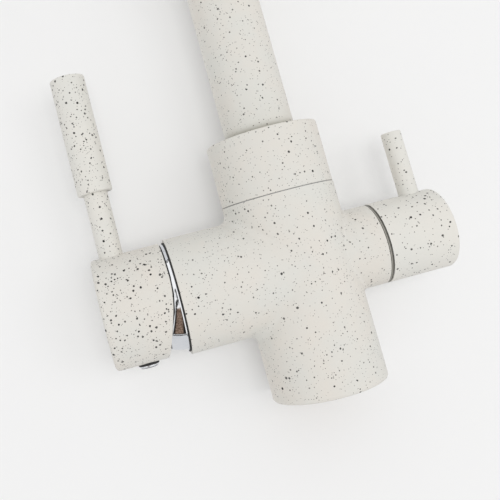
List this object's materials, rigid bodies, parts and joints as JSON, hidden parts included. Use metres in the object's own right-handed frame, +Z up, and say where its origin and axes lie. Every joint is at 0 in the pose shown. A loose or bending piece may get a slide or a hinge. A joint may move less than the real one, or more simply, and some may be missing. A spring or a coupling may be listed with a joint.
{
  "type": "three-way kitchen tap",
  "caption": "Speckled kitchen tap with a tilting side mixer, a quarter-turn filtered-water handle and a swivelling arched spout.",
  "frame": {"origin": "centre of the base face, on the column's axis", "axes": "+Z up the column, -X towards the mixer, +X towards the filter handle, -Y towards the user, where the spout points at rest"},
  "size_m": [0.1601, 0.2522, 0.356],
  "materials": {
    "speckled_paint": "matt off-white coating with fine dark specks",
    "chrome": "polished",
    "brass": "machined",
    "steel": "plain",
    "ceramic": "lapped",
    "rubber": "matt",
    "dark_plastic": "satin dark grey",
    "grey_plastic": "moulded",
    "white_plastic": "moulded"
  },
  "bodies": {
    "tap_body": {"body_casting": "speckled_paint", "mixer_arm_sleeve": "speckled_paint", "filter_arm_sleeve": "speckled_paint", "base_gasket": "rubber", "inlet_block": "brass", "inlet_seals": "rubber", "inlet_block_screws": "steel", "cartridge_base": "grey_plastic", "cartridge_port_seals": "rubber", "ceramic_disc_fixed": "ceramic", "cartridge_housing": "grey_plastic", "cartridge_nut": "brass", "mixer_bonnet": "chrome", "filter_valve_body": "brass", "filter_valve_seal": "rubber", "filter_disc_fixed": "ceramic", "filter_trim_ring": "dark_plastic", "swivel_washer": "white_plastic", "spout_retaining_screw": "steel", "filter_standpipe": "brass"},
    "mixer_rotor": {"cartridge_rotor": "grey_plastic", "cartridge_pivot_pin": "steel"},
    "mixing_disc": {"ceramic_disc_moving": "ceramic", "disc_carrier": "grey_plastic"},
    "mixer_lever": {"mixer_spindle": "brass", "mixer_cap": "speckled_paint", "mixer_lever_rod": "speckled_paint", "mixer_lever_grip": "speckled_paint", "mixer_set_screw": "steel", "mixer_plug": "chrome"},
    "filter_handle": {"filter_spindle": "brass", "filter_disc_moving": "ceramic", "filter_spindle_o_rings": "rubber", "filter_cap": "speckled_paint", "filter_lever_pin": "speckled_paint", "filter_set_screw": "steel"},
    "spout": {"spout_stem": "brass", "stem_o_rings": "rubber", "stem_glide_rings": "white_plastic", "spout_collar": "speckled_paint", "collar_set_screw": "steel", "spout_tube": "speckled_paint", "hose_hub": "white_plastic", "standpipe_o_ring": "rubber", "filter_hose": "white_plastic", "aerator_housing": "chrome", "aerator_screen": "white_plastic", "filter_nozzle": "chrome", "aerator_washer": "rubber"}
  },
  "joints": [
    {"name": "mixer_turn", "type": "hinge", "parent": "tap_body", "child": "mixer_rotor", "pos_m": [-0.0564, 0, 0.0564], "axis": [1, 0, 0], "range_deg": [-45, 45]},
    {"name": "mixer_tilt", "type": "hinge", "parent": "mixer_rotor", "child": "mixer_lever", "pos_m": [-0.0564, 0, 0.0564], "axis": [0, -1, 0], "range_deg": [0, 18]},
    {"name": "disc_slide", "type": "slide", "parent": "mixer_rotor", "child": "mixing_disc", "axis": [0, 0, 1], "range_m": [0, 0.0036]},
    {"name": "filter_turn", "type": "hinge", "parent": "tap_body", "child": "filter_handle", "pos_m": [0.0371, 0, 0.0564], "axis": [1, 0, 0], "range_deg": [0, 90]},
    {"name": "spout_swivel", "type": "hinge", "parent": "tap_body", "child": "spout", "pos_m": [0, 0, 0.089], "axis": [0, 0, 1], "range_deg": [-180, 180]}
  ],
  "couplings": [
    {"joint": "disc_slide", "follows": "mixer_tilt", "m_per_rad": 0.011312}
  ]
}
